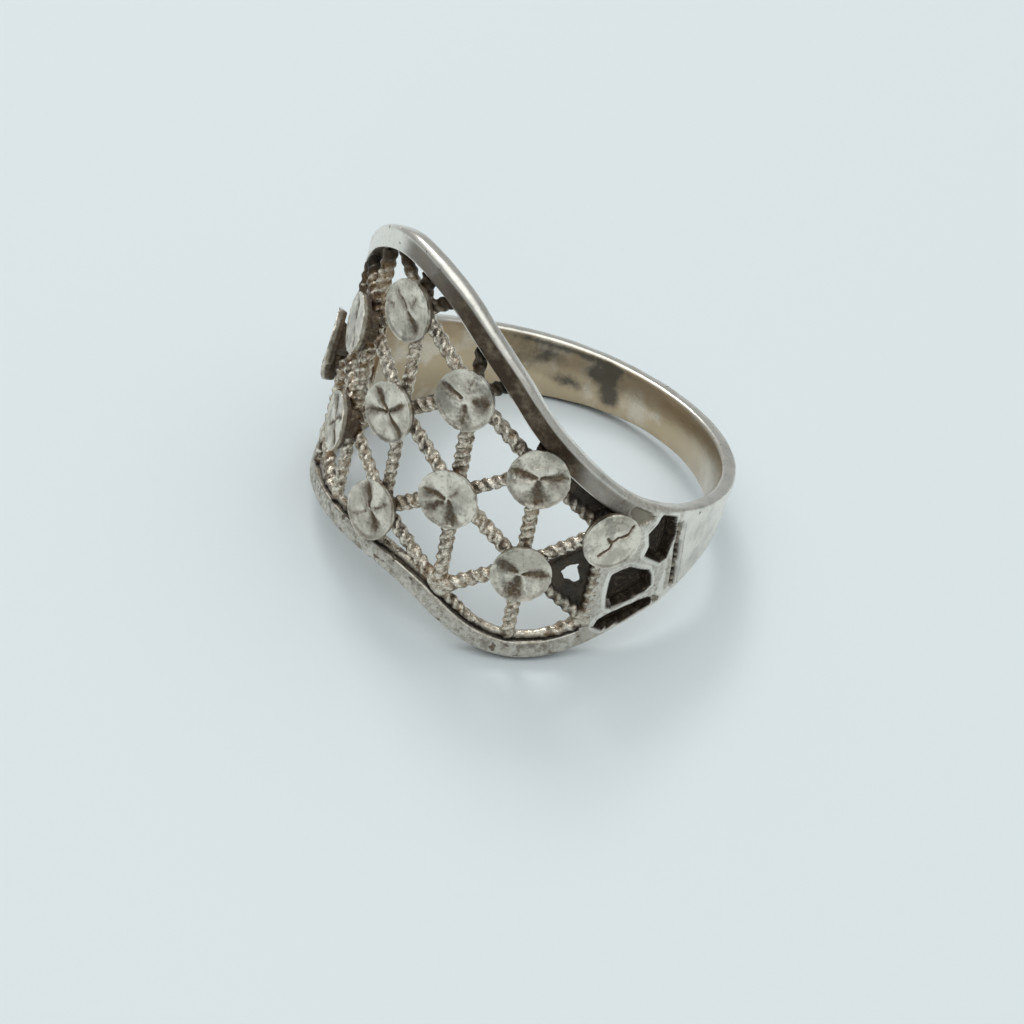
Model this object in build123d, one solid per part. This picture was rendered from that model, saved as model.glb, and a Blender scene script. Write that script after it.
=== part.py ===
from build123d import *
import math
import os

os.makedirs("parts", exist_ok=True)

# A cast silver finger ring: a plain narrow band at the back that widens into a
# pierced panel at the front. The panel has a high wave to one side of its
# centre and a low wave to the other, a rim along both edges, and a triangular
# net of wires whose crossings carry small flat discs. One piece of metal.
#
# The ring is laid out about its own axis first. Angles are measured around the
# axis from the panel's front, positive to the right, and heights along it.
# At the end the whole ring is tilted onto the three places it rests on.

# Band
finger_radius = 9.0
wall = 0.9
band_top = 1.05
band_low = 1.5

# Panel
panel_centre = -13.0
upper_peak = 9.85
lower_peak = 6.9
upper_rim_width = 0.95
lower_rim_width = 0.95
window_right = 61.0
window_left = -84.0

# Net of wires and discs
wire_diameter = 0.78
net_rise = 4.7
net_lean = -3.0
net_step = 19.4
net_climb = 2.4
net_centre_angle = -7.0
net_centre_height = 2.35
disc_diameter = 2.8
disc_thickness = 0.55
disc_top_gap = 0.65
hub_diameter = 1.5
cross_width = 0.3

# Shoulders
floor_depth = 0.45
bead_diameter = 0.42
bead_height = 0.15
bead_count = 10
bead_line_angle = 84.0
bead_line_lean = 4.0
bead_line_top = band_top - 1.2 * bead_diameter
bead_line_foot = -0.42 * lower_peak

# What it rests on: angles of the three lowest places of the lower edge
rest_front_angle = 40.0
rest_left_angle = -75.0
rest_back_angle = -165.0

outer_radius = finger_radius + wall
# Cutting shapes run from well inside the hollow to well outside the ring
cut_inside = finger_radius / 3
cut_outside = 2 * outer_radius
cut_height = 4 * outer_radius
# Half a right angle to each side is searched for each of the three lowest places
search_share = math.cos(math.radians(45))
search_steps = 720
search_rounds = 8
# The wires are straight between crossings, and their middles just clear the finger
wire_line_radius = (finger_radius + 0.55 * wire_diameter) / math.cos(math.radians(net_step / 2))

# Upper edge: angle, share of the way from the band's top to the upper peak
UPPER_EDGE = [
    (-150, 0.0), (-110, 0.01), (-97, 0.05), (-85, 0.15), (-70, 0.38),
    (-54, 0.69), (-40, 0.875), (-28, 0.97), (-17, 1.0), (-6, 0.965),
    (4, 0.89), (14, 0.765), (24, 0.62), (36, 0.42), (47, 0.272),
    (59, 0.14), (70, 0.063), (84, 0.02), (105, 0.0), (140, 0.0), (175, 0.0),
]
# Lower edge: angle, share of the way from the band's low edge to the lower peak
LOWER_EDGE = [
    (-150, 0.13), (-130, 0.22), (-112, 0.34), (-95, 0.5), (-78, 0.61),
    (-50, 0.63), (-20, 0.62), (0, 0.64), (14, 0.75), (27, 0.935),
    (38, 1.0), (49, 0.955), (61, 0.79), (74, 0.55), (86, 0.37),
    (100, 0.14), (120, 0.03), (150, 0.0), (178, 0.02),
]
# Crossings with a disc, as whole steps from the centre: steps across, steps up
DISCS = [
    (0, 1), (1, 0), (2, -1), (3, -2),
    (-1, 1), (0, 0), (1, -1), (2, -2),
    (-2, 1), (-1, 0), (0, -1), (-3, 1),
]
# Crossings where the wires meet without a disc
BARE_NODES = [(1, -2), (-2, 0), (3, -3)]

# Recessed cells of the right shoulder: angle, share of the way from the lower
# peak's depth (0) to the band's top (1)
CELL_BESIDE = [(70, 1.03), (77, 0.99), (80.5, 0.8), (77, 0.7), (72, 0.8)]
CELL_BELOW = [(62.5, 0.64), (71, 0.66), (76.5, 0.61), (76, 0.51), (68, 0.42), (63, 0.455)]
CELL_SLOT = [(62, 0.27), (65, 0.35), (70, 0.4), (80, 0.43), (81.5, 0.38), (74, 0.31), (64, 0.235)]
# Filled corners of the net next to the right shoulder, and the hole in one
CORNER_HIGH = [(37, 1.17), (57, 0.86), (64, 0.86), (64, 1.5), (45, 1.6), (36, 1.5)]
CORNER_LOW = [(43, 0.58), (57, 0.8), (64, 0.8), (64, 0.27), (59, 0.28), (43, 0.5)]
CORNER_HOLE = [(48, 0.65), (53.5, 0.665), (55, 0.6), (53, 0.53), (49, 0.565)]


def on_cylinder(radius, angle, height):
    turn = math.radians(angle)
    return Vector(radius * math.sin(turn), -radius * math.cos(turn), height)


def edge_heights():
    upper = [(a, band_top + s * (upper_peak - band_top)) for a, s in UPPER_EDGE]
    lower = [(a, -band_low - s * (lower_peak - band_low)) for a, s in LOWER_EDGE]
    return upper, lower


def moved_in(points, distance):
    """The same edge moved sideways along the wall, by distance times its mean radius."""
    moved = []
    count = len(points)
    arc = math.radians(outer_radius)
    for i, (angle, height) in enumerate(points):
        before = points[i - 1]
        after = points[(i + 1) % count]
        run = ((after[0] - before[0]) % 360) * arc
        rise = after[1] - before[1]
        length = math.hypot(run, rise)
        moved.append((angle - distance * rise / length / arc, height + distance * run / length))
    return moved


def wavy_edge(points, radius):
    """A closed smooth curve around the axis through points of angle and height."""
    start = points[0][0]
    steps = [(angle - start) / 360 for angle, height in points] + [1.0]
    return Edge.make_spline([on_cylinder(radius, a, z) for a, z in points], periodic=True, parameters=steps)


def beyond(points, up):
    """Everything on the far side of a closed wavy edge, above it (1) or below it (-1)."""
    inner = wavy_edge(points, cut_inside)
    outer = wavy_edge(points, cut_outside)
    surface = Face.make_surface_from_curves(inner, outer)
    return extrude(surface, amount=cut_height, dir=(0, 0, up))


def tube(inside, outside):
    return Cylinder(outside, cut_height) - Cylinder(inside, cut_height)


def radial_prism(points, inside, outside):
    """A polygon of the wall, given by angle and height, between two radii."""
    middle = sum(a for a, z in points) / len(points)
    plane = Plane(origin=on_cylinder(inside, middle, 0), x_dir=on_cylinder(1, middle + 90, 0),
                  z_dir=on_cylinder(1, middle, 0))
    corners = [(outer_radius * math.sin(math.radians(a - middle)), z) for a, z in points]
    face = plane * make_face(Polyline(*corners, close=True).edges())
    return extrude(face, amount=outside - inside, dir=plane.z_dir)


def wall_points(table):
    """Angles and heights of a polygon whose heights are shares of the panel's low half."""
    return [(a, -lower_peak + s * (lower_peak + band_top)) for a, s in table]


def mirrored(points):
    return [(2 * panel_centre - a, z) for a, z in points]


def node_place(across, up):
    angle = net_centre_angle + across * net_step + up * net_lean
    return angle, net_centre_height + across * net_climb + up * net_rise


def wire(start, end):
    a = on_cylinder(wire_line_radius, *start)
    b = on_cylinder(wire_line_radius, *end)
    axis = b - a
    return Plane(origin=a, z_dir=axis) * Cylinder(
        wire_diameter / 2, axis.length, align=(Align.CENTER, Align.CENTER, Align.MIN))


def net():
    """Every crossing joined to its six neighbours."""
    done = set()
    wires = []
    for across, up in DISCS + BARE_NODES:
        for step_across, step_up in [(1, 0), (0, 1), (1, -1), (-1, 0), (0, -1), (-1, 1)]:
            other = (across + step_across, up + step_up)
            pair = frozenset([(across, up), other])
            if pair in done:
                continue
            done.add(pair)
            wires.append(wire(node_place(across, up), node_place(*other)))
    return wires


def disc():
    """A flat disc on a short hub, its top crossed by two grooves, standing on the wires' line."""
    top = outer_radius + disc_top_gap
    low = top - disc_thickness
    hub = Pos(0, 0, wire_line_radius) * Cylinder(
        hub_diameter / 2, low - wire_line_radius + disc_thickness / 2,
        align=(Align.CENTER, Align.CENTER, Align.MIN))
    plate = Pos(0, 0, low) * Cylinder(
        disc_diameter / 2, disc_thickness, align=(Align.CENTER, Align.CENTER, Align.MIN))
    body = hub + plate
    for turn in (45, -45):
        body -= Pos(0, 0, top) * Rot(0, 0, turn) * Rot(45, 0, 0) * Box(
            2 * disc_diameter, cross_width, cross_width)
    return body


def placed_discs():
    shape = disc()
    placed = []
    for across, up in DISCS:
        angle, height = node_place(across, up)
        out = on_cylinder(1, angle, 0)
        plane = Plane(origin=(0, 0, height), x_dir=on_cylinder(1, angle + 90, 0), z_dir=out)
        placed.append(plane * shape)
    return placed


def beads():
    """A leaning row of small round pins where the plain band starts, on both shoulders."""
    pin = Cylinder(bead_diameter / 2, wall / 2 + bead_height, align=(Align.CENTER, Align.CENTER, Align.MIN))
    row = []
    for i in range(bead_count):
        share = i / (bead_count - 1)
        angle = bead_line_angle + bead_line_lean * (2 * share - 1)
        for place in (angle, 2 * panel_centre - angle):
            height = bead_line_top + (bead_line_foot - bead_line_top) * share
            plane = Plane(origin=(0, 0, height), z_dir=on_cylinder(1, place, 0))
            row.append(plane * Pos(0, 0, outer_radius - wall / 2) * pin)
    return row


def wedge(start, end):
    """The part of space between two angles about the axis."""
    steps = 6
    corners = [(0, 0)]
    for i in range(steps + 1):
        corner = on_cylinder(cut_outside, start + (end - start) * i / steps, 0)
        corners.append((corner.X, corner.Y))
    face = make_face(Polyline(*corners, close=True).edges())
    return Pos(0, 0, -cut_height / 2) * extrude(face, amount=cut_height, dir=(0, 0, 1))


def strip(upper, lower, share):
    """What lies between the two edges, moved in by a share of each rim's width."""
    thick = tube(finger_radius / 2, 1.5 * outer_radius)
    thick -= beyond(moved_in(upper, -upper_rim_width * share), 1)
    return thick - beyond(moved_in(lower, lower_rim_width * share), -1)


def corners():
    """The two triangles of the net next to the right shoulder that are filled."""
    floor_radius = outer_radius - floor_depth
    high = radial_prism(wall_points(CORNER_HIGH), finger_radius, floor_radius)
    low = radial_prism(wall_points(CORNER_LOW), finger_radius, floor_radius)
    return [high, low - radial_prism(wall_points(CORNER_HOLE), cut_inside, outer_radius)]


def cells():
    """The sunk cells of both shoulders, the left ones mirrored."""
    cut = []
    for table in (CELL_BESIDE, CELL_BELOW, CELL_SLOT):
        for points in (wall_points(table), mirrored(wall_points(table))):
            cut.append(radial_prism(points, outer_radius - floor_depth, cut_outside))
    return cut


def ring():
    upper, lower = edge_heights()
    band = tube(finger_radius, outer_radius)
    band -= beyond(upper, 1)
    band -= beyond(lower, -1)
    band -= strip(upper, lower, 1) & wedge(window_left, window_right)
    inside = (Part() + net() + corners()) & strip(upper, lower, 0.5)
    return band + [inside] + placed_discs() - cells() + beads()


def resting_plane(lower):
    """The plane that touches the lower edge at its front, left and back."""
    places = []
    for radius in (finger_radius, outer_radius):
        edge = wavy_edge(lower, radius)
        places += [edge.position_at(i / search_steps) for i in range(search_steps)]
    up = Vector(0, 0, 1)
    for _ in range(search_rounds):
        touched = []
        for centre in (rest_front_angle, rest_left_angle, rest_back_angle):
            side = on_cylinder(1, centre, 0)
            near = [p for p in places if p.dot(side) > outer_radius * search_share]
            touched.append(min(near, key=lambda p: p.dot(up)))
        up = (touched[1] - touched[0]).cross(touched[2] - touched[0]).normalized()
        if up.Z < 0:
            up = -up
    print("rests at", [round(math.degrees(math.atan2(p.X, -p.Y))) for p in touched])
    return up


def at_rest(body):
    """The ring tilted onto its three lowest places, standing at height zero."""
    up = resting_plane(edge_heights()[1])
    lean = math.degrees(math.acos(up.Z))
    hinge = Axis((0, 0, 0), up.cross(Vector(0, 0, 1)))
    tilted = body.rotate(hinge, lean)
    box = tilted.bounding_box()
    print("tilt", round(lean, 2), "towards", round(math.degrees(math.atan2(up.X, -up.Y)), 1))
    print("moved by", round(-box.center().X, 4), round(-box.center().Y, 4), round(-box.min.Z, 4))
    return Pos(-box.center().X, -box.center().Y, -box.min.Z) * tilted


body = at_rest(ring())
print("solids", len(body.solids()), "volume", round(body.volume, 1))
export_step(body, "parts/ring.step")
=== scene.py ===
import bisect
import math
import random

import bpy
import numpy as np
from mathutils import Matrix, Vector, noise


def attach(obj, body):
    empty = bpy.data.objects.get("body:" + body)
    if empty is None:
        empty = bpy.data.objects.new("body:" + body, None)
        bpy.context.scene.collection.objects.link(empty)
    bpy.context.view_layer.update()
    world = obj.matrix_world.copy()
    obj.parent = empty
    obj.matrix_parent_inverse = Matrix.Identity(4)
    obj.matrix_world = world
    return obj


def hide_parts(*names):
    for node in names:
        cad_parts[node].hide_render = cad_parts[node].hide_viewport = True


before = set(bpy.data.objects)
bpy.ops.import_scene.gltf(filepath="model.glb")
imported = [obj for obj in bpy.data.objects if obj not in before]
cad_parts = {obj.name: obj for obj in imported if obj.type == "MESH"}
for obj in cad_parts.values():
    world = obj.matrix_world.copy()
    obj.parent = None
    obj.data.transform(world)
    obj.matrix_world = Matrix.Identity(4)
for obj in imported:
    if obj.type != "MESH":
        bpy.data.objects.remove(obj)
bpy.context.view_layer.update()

# The ring is modelled upright about its own axis, in millimetres. Angles are
# measured around the axis from the panel's front, positive to the right.
# Each finished piece is then laid down as the ring rests, in metres.

# Band and panel
finger_radius = 9.0
outer_radius = 9.9
band_top = 1.05
band_low = 1.5
panel_centre = -13.0
upper_peak = 9.85
lower_peak = 6.9
upper_rim = 1.06
lower_rim = 0.82
window_right = 61.0
window_left = -84.0
# Both edges: angle, share of the way from the band's edge (0) to the wave's crest (1)
UPPER_EDGE = [
    (-150, 0.0), (-110, 0.01), (-97, 0.05), (-85, 0.15), (-70, 0.38),
    (-54, 0.69), (-40, 0.875), (-28, 0.97), (-17, 1.0), (-6, 0.965),
    (4, 0.89), (14, 0.765), (24, 0.62), (36, 0.42), (47, 0.272),
    (59, 0.14), (70, 0.063), (84, 0.02), (105, 0.0), (140, 0.0), (175, 0.0),
]
LOWER_EDGE = [
    (-150, 0.13), (-130, 0.22), (-112, 0.34), (-95, 0.5), (-78, 0.61),
    (-50, 0.63), (-20, 0.62), (0, 0.64), (14, 0.75), (27, 0.935),
    (38, 1.0), (49, 0.955), (61, 0.79), (74, 0.55), (86, 0.37),
    (100, 0.14), (120, 0.03), (150, 0.0), (178, 0.02),
]

# Net: the crossings are numbered across and up from the middle one. One step across turns
# by net_step and climbs by net_climb, one step up rises by net_rise and turns by net_lean.
net_rise = 4.7
net_lean = -3.0
net_step = 19.4
net_climb = 2.4
net_centre_angle = -7.0
net_centre_height = 2.35
strand_radius = 0.21
strand_offset = 0.19
strand_pitch = 1.0
core_radius = 0.3
# The net stays inside this radius where the wall covers it
under_rim = 9.62
wire_radius = strand_radius + strand_offset
# The radius on which the wires' ends lie
wire_line = (finger_radius + 1.1 * wire_radius) / math.cos(math.radians(net_step / 2))
DISCS = {
    "a": (0, 1), "b": (1, 0), "c": (2, -1), "d": (3, -2),
    "e": (-1, 1), "f": (0, 0), "g": (1, -1), "h": (2, -2),
    "k": (-2, 1), "i": (-1, 0), "j": (0, -1), "l": (-3, 1),
}
# Crossings without a disc
BARE_NODES = [(1, -2), (-2, 0), (3, -3)]
NODES = list(DISCS.values()) + BARE_NODES

# Shoulders: angle, share of the way from the low wave (0) to the band's top (1)
CELL_BESIDE = [
    (72.4, 1.014), (77.7, 0.992), (78.4, 0.95), (79.2, 0.874), (79.4, 0.792),
    (79.4, 0.715), (77.4, 0.69), (73.3, 0.728), (71.0, 0.75), (71.4, 0.813),
    (69.9, 0.895), (70.9, 0.93), (72.0, 0.958),
]
CELL_BELOW = [
    (62.8, 0.62), (65.0, 0.651), (67.5, 0.673), (71.2, 0.655), (74.1, 0.645),
    (75.8, 0.606), (76.9, 0.541), (75.4, 0.504), (71.9, 0.465), (68.6, 0.425),
    (66.2, 0.398), (64.4, 0.406), (63.3, 0.481), (62.8, 0.569),
]
CELL_SLOT = [
    (62.7, 0.268), (63.3, 0.316), (66.3, 0.363), (70, 0.40), (74.5, 0.438), (78.3, 0.453), (79.2, 0.43),
    (79.0, 0.39), (76.1, 0.36), (71.5, 0.313), (67.3, 0.268), (65.1, 0.252),
]
SLOT_END = [(78.6, 0.466), (82.8, 0.434), (83.0, 0.40), (80.0, 0.405)]
PLATE = [
    (61.8, 1.034), (62.4, 1.064), (64, 1.066), (67.7, 1.036), (70.6, 0.99), (68.6, 0.975), (67.0, 0.955),
    (65.4, 0.944), (64.1, 0.97),
]
CORNER_HIGH = [(37, 1.17), (57, 0.86), (64, 0.86), (64, 1.04), (57, 1.11), (45, 1.25), (37, 1.36)]
CORNER_LOW = [(43, 0.58), (57, 0.8), (64, 0.8), (64, 0.27), (59, 0.28), (43, 0.5)]
CORNER_HOLE = [
    (49.2, 0.585), (51.0, 0.63), (54.7, 0.65), (54.2, 0.60), (55.5, 0.55), (56.2, 0.525), (55.1, 0.5),
    (53.3, 0.52), (51.5, 0.52), (50.4, 0.56),
]
cell_depth = 0.42
# The radii between which the plates in the net's corners lie
plate_foot = finger_radius + 0.05
plate_top = outer_radius - 0.45

# How the ring lies: leaned about its middle, then moved over the origin
rest_lean = 15.85
rest_side = 7.2
rest_shift = Vector((0.0861, 0.6781, 4.6122))

dice = random.Random(7)


# Curves and places

class ClosedCurve:
    """A smooth closed curve of heights around the ring, through a table's angles."""

    def __init__(self, table, start, reach):
        self.angles = [float(angle) for angle, share in table]
        self.heights = [start + share * reach for angle, share in table]
        count = len(table)
        steps = np.diff(np.append(self.angles, self.angles[0] + 360))
        matrix = np.zeros((count, count))
        sides = np.zeros(count)
        for i in range(count):
            after = (i + 1) % count
            matrix[i, i - 1] += steps[i - 1]
            matrix[i, i] += 2 * (steps[i - 1] + steps[i])
            matrix[i, after] += steps[i]
            climb = (self.heights[after] - self.heights[i]) / steps[i]
            sides[i] = 6 * (climb - (self.heights[i] - self.heights[i - 1]) / steps[i - 1])
        self.bends = np.linalg.solve(matrix, sides).tolist()
        self.steps = steps.tolist()

    def at(self, angle):
        angle = (angle - self.angles[0]) % 360 + self.angles[0]
        i = bisect.bisect_right(self.angles, angle) - 1
        after = (i + 1) % len(self.angles)
        step = self.steps[i]
        gone = angle - self.angles[i]
        left = step - gone
        bend_here, bend_after = self.bends[i], self.bends[after]
        cubic = (bend_here * left ** 3 + bend_after * gone ** 3) / (6 * step)
        here = (self.heights[i] / step - bend_here * step / 6) * left
        there = (self.heights[after] / step - bend_after * step / 6) * gone
        return cubic + here + there

    def slope(self, angle):
        """Rise over run along the wall."""
        run = 2 * math.radians(1) * outer_radius
        return (self.at(angle + 1) - self.at(angle - 1)) / run


upper = ClosedCurve(UPPER_EDGE, band_top, upper_peak - band_top)
lower = ClosedCurve(LOWER_EDGE, -band_low, band_low - lower_peak)


def on_cylinder(radius, angle, height):
    turn = math.radians(angle)
    return Vector((radius * math.sin(turn), -radius * math.cos(turn), height))


def angle_of(point):
    return math.degrees(math.atan2(point.x, -point.y))


def radius_of(point):
    return math.hypot(point.x, point.y)


def rise(value, low, high):
    """0 below low, 1 above high, and a smooth rise from one to the other."""
    share = min(max((value - low) / (high - low), 0.0), 1.0)
    return share * share * (3 - 2 * share)


def fall(value, low, high):
    return 1 - rise(value, low, high)


def resting_place():
    lean = math.radians(rest_lean)
    side = math.radians(rest_side)
    up = Vector((math.sin(lean) * math.sin(side), -math.sin(lean) * math.cos(side), math.cos(lean)))
    hinge = up.cross(Vector((0, 0, 1))).normalized()
    return Matrix.Scale(0.001, 4) @ Matrix.Translation(rest_shift) @ Matrix.Rotation(lean, 4, hinge)


LAID_DOWN = resting_place()


# Modelling helpers

def work_in(mode):
    bpy.ops.object.mode_set(mode=mode)


def nothing_selected():
    if bpy.context.object and bpy.context.object.mode != "OBJECT":
        work_in("OBJECT")
    bpy.ops.object.select_all(action="DESELECT")


def only(piece):
    nothing_selected()
    piece.select_set(True)
    bpy.context.view_layer.objects.active = piece


def opened(piece):
    """Opens a piece for editing with all of it selected."""
    only(piece)
    work_in("EDIT")
    bpy.ops.mesh.select_all(action="SELECT")


def turned_outward():
    """Turns every face of the open piece outwards and closes it."""
    bpy.ops.mesh.select_all(action="SELECT")
    bpy.ops.mesh.normals_make_consistent(inside=False)
    work_in("OBJECT")


def modify(piece, kind, **settings):
    only(piece)
    modifier = piece.modifiers.new(kind.lower(), kind)
    for name, value in settings.items():
        setattr(modifier, name, value)
    bpy.ops.object.modifier_apply(modifier=modifier.name)


def choose(piece, kind, wanted):
    """Opens a piece for editing with only the wanted faces or edges selected."""
    opened(piece)
    bpy.ops.mesh.select_mode(type=kind)
    bpy.ops.mesh.select_all(action="DESELECT")
    work_in("OBJECT")
    for part in piece.data.polygons if kind == "FACE" else piece.data.edges:
        part.select = wanted(part)
    work_in("EDIT")


def new_object(name, data):
    made = bpy.data.objects.new(name, data)
    bpy.context.collection.objects.link(made)
    return made


def copy_of(piece, name, matrix):
    twin = new_object(name, piece.data.copy())
    twin.data.transform(matrix)
    return twin


def cylinder(sides, radius, depth, middle):
    """An upright cylinder with its middle at a height."""
    bpy.ops.mesh.primitive_cylinder_add(
        vertices=sides, radius=radius, depth=depth, location=(0, 0, middle))
    made = bpy.context.object
    bpy.ops.object.transform_apply(location=True)
    return made


def drop(piece):
    mesh = piece.data
    bpy.data.objects.remove(piece)
    bpy.data.meshes.remove(mesh)


def joined(pieces, name):
    nothing_selected()
    for piece in pieces:
        piece.select_set(True)
    bpy.context.view_layer.objects.active = pieces[0]
    bpy.ops.object.join()
    whole = bpy.context.object
    whole.name = name
    return whole


def cut_away(piece, tool):
    modify(piece, "BOOLEAN", operation="DIFFERENCE", solver="EXACT", object=tool)
    drop(tool)


def cast_skin(name, size, depth):
    """A cloudy texture for the slight unevenness of cast metal."""
    skin = bpy.data.textures.new(name, "CLOUDS")
    skin.noise_scale = size
    skin.noise_depth = depth
    return skin


fine_skin = cast_skin("fine_cast_skin", 0.22, 2)
broad_skin = cast_skin("broad_cast_skin", 1.3, 1)


def roughen(piece, skin, strength):
    modify(piece, "DISPLACE", texture=skin, texture_coords="LOCAL", strength=strength, mid_level=0.5)


def fused(piece, grain, smoothing):
    """Melts a piece's overlapping parts into one skin."""
    modify(piece, "REMESH", mode="VOXEL", voxel_size=grain, adaptivity=0.0)
    modify(piece, "SMOOTH", factor=0.5, iterations=smoothing)


def write_layer(piece, name, values):
    """Writes a number on every point of a piece, for its material to read."""
    layer = piece.data.attributes.new(name, "FLOAT", "POINT")
    layer.data.foreach_set("value", values)


def paint(piece, name, value_at):
    write_layer(piece, name, [value_at(vertex.co) for vertex in piece.data.vertices])


# Shoulder relief

def wall_points(table):
    """A shoulder's table as angles and heights."""
    reach = lower_peak + band_top
    return [(angle, -lower_peak + share * reach) for angle, share in table]


CELLS = [wall_points(table) for table in (CELL_BESIDE, CELL_BELOW, CELL_SLOT)]
SHALLOWS = [wall_points(table) for table in (PLATE, SLOT_END)]
PLATES = [wall_points(table) for table in (CORNER_HIGH, CORNER_LOW)]
# The angles between which a shoulder has relief
CELL_SPAN = (58.0, 94.0)
cell_wall = 0.1
cell_ridge = 0.06
shallow_depth = 0.12
shallow_ridge = 0.05
# The bead row: a groove with beads in it and a thin line on either side
bead_count = 11
bead_line_angle = 83.6
bead_line_lean = 2.9
bead_line_top = 0.55
bead_line_foot = -2.9
bead_half_length = 0.16
bead_half_width = 0.2
bead_height = 0.27
groove_half_width = 0.24
groove_depth = 0.2
flank_place = 0.36
flank_height = 0.06


def ridge(distance, middle, width):
    """1 at a middle line and falling off to both sides of it."""
    return math.exp(-((distance - middle) / width) ** 2)


def depth_inside(points, angle, height):
    """Distance in from a polygon's outline, in millimetres along the wall, below 0 outside."""
    arc = math.radians(outer_radius)
    inside = False
    nearest = 1e9
    count = len(points)
    for i in range(count):
        ax, ay = (points[i][0] - angle) * arc, points[i][1] - height
        bx, by = (points[(i + 1) % count][0] - angle) * arc, points[(i + 1) % count][1] - height
        if (ay > 0) != (by > 0) and ax - ay * (bx - ax) / (by - ay) > 0:
            inside = not inside
        length = (bx - ax) ** 2 + (by - ay) ** 2
        share = min(max(-(ax * (bx - ax) + ay * (by - ay)) / length, 0.0), 1.0)
        nearest = min(nearest, math.hypot(ax + share * (bx - ax), ay + share * (by - ay)))
    return nearest if inside else -nearest


def deepest(outlines, angle, height):
    return max(depth_inside(points, angle, height) for points in outlines)


def on_shoulder(angle, height):
    """A place's angle and height on the right shoulder, which the left one mirrors; else None."""
    mirrored = 2 * panel_centre - angle if angle < panel_centre else angle
    if not CELL_SPAN[0] < mirrored < CELL_SPAN[1]:
        return None
    share = (height - lower.at(angle)) / (upper.at(angle) - lower.at(angle))
    return mirrored, lower.at(mirrored) + share * (upper.at(mirrored) - lower.at(mirrored))


def shoulder_relief(angle, height):
    """How far the wall stands back (below 0) or forward at a place on a shoulder."""
    place = on_shoulder(angle, height)
    if place is None:
        return 0.0
    relief = 0.0
    for points in CELLS:
        inside = depth_inside(points, *place)
        relief -= cell_depth * rise(inside, 0.0, cell_wall)
        relief += cell_ridge * ridge(inside, 0.34, 0.1)
        relief += cell_ridge * ridge(inside, -0.09, 0.07)
    for points in SHALLOWS:
        inside = depth_inside(points, *place)
        relief -= shallow_depth * rise(inside, -0.02, 0.08)
        relief += shallow_ridge * ridge(inside, -0.1, 0.07)
    groove, bead, flank = bead_row(*place)
    return relief - groove_depth * groove + bead_height * bead + flank_height * flank


def beside_beads(angle, height):
    """The share of the way down the bead row, and millimetres to the right of its line."""
    share = (bead_line_top - height) / (bead_line_top - bead_line_foot)
    line = bead_line_angle + bead_line_lean * (2 * share - 1)
    return share, (angle - line) * math.radians(outer_radius)


def bead_row(angle, height):
    """The leaning row of beads: its groove, its beads and the thin lines beside it, 0 to 1."""
    share, across = beside_beads(angle, height)
    ends = rise(share, -0.06, 0.02) * fall(share, 0.98, 1.06)
    along = (share * (bead_count - 1)) % 1.0
    along = min(along, 1 - along) / (bead_count - 1) * (bead_line_top - bead_line_foot)
    bead = math.sqrt(max(0.0, 1 - (along / bead_half_length) ** 2 - (across / bead_half_width) ** 2))
    bead *= 0.75 + 0.6 * noise.noise(Vector((2.0 * height, 0.1 * angle, 5.0)))
    groove = math.exp(-(across / groove_half_width) ** 4)
    flank = ridge(abs(across), flank_place, 0.08)
    return groove * ends, bead * ends, flank * ends


def bead_row_shadow(angle, height):
    """The painted shadow on the cells' side of the beads, 0 to 1."""
    share, across = beside_beads(angle, height)
    ends = rise(share, 0.3, 0.6) * fall(share, 1.0, 1.2)
    return ridge(across, -0.5, 0.25) * ends


# The wall: band and both rims in one piece

# Start angle of each stretch of the wall and its number of columns, closest on the shoulders
WALL_SPANS = [(-180, 60), (-122, 150), (-84.6, 1), (-84, 194), (61, 1), (61.6, 138), (96, 96), (180, 0)]
wall_columns = sum(count for start, count in WALL_SPANS)
# Rows across each rim: distance in from its edge
UPPER_ROWS = [0.0, 0.015, 0.06, 0.125, 0.21, 0.31, 0.43, 0.57, 0.72, 0.84, 0.95, upper_rim]
LOWER_ROWS = [0.0, 0.1, 0.17, 0.24, 0.31, 0.38, 0.45, 0.52, 0.59, 0.66, 0.73, lower_rim]
# How far each rim's face stands back in the panel: distance in from its edge, depth
UPPER_FACE = [(0.25, 0.0), (0.45, 0.06), (0.75, 0.07), (0.95, 0.03), (upper_rim, 0.03)]
LOWER_FACE = [(0.0, 0.03), (0.1, 0.0), (0.25, -0.02), (0.45, -0.02), (0.65, 0.0), (lower_rim, 0.04)]
rim_rows = len(UPPER_ROWS) - 1
middle_rows = 58
wall_rows = 2 * rim_rows + middle_rows
# The upper edge is rounded, outside and inside, less at the band's back than in the panel
band_round = 0.12
panel_round = 0.3
band_comfort = 0.14
panel_comfort = 0.34
# How much wider the bore is at the edges of the band's back than at its middle
bore_flare = 0.22
edge_bevel = 0.07
wall_skin = 0.05


def panel_share(angle):
    """1 in the pierced panel, 0 at the band's back."""
    return rise(angle, -112, -88) * fall(angle, 62, 84)


def rim_point(curve, angle, inward):
    """Angle and height of a place that lies a distance below a curve, square to it."""
    slope = curve.slope(angle)
    length = math.hypot(1, slope)
    turn = math.degrees(inward * slope / length / outer_radius)
    return angle + turn, curve.at(angle) - inward / length


def stands_back(face, inward):
    """How far a rim's face stands back at a distance in from its edge."""
    distances, depths = zip(*face)
    return float(np.interp(inward, distances, depths))


def rounded_off(inward, radius):
    """How far a rounded edge stands back at a distance in from the edge."""
    left = max(radius - inward, 0.0)
    return radius - math.sqrt(max(radius * radius - left * left, 0.0))


def column_angle(column):
    for (start, count), (end, after) in zip(WALL_SPANS, WALL_SPANS[1:]):
        if column <= count:
            return start + (end - start) * column / count
        column -= count
    return 180.0


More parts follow.
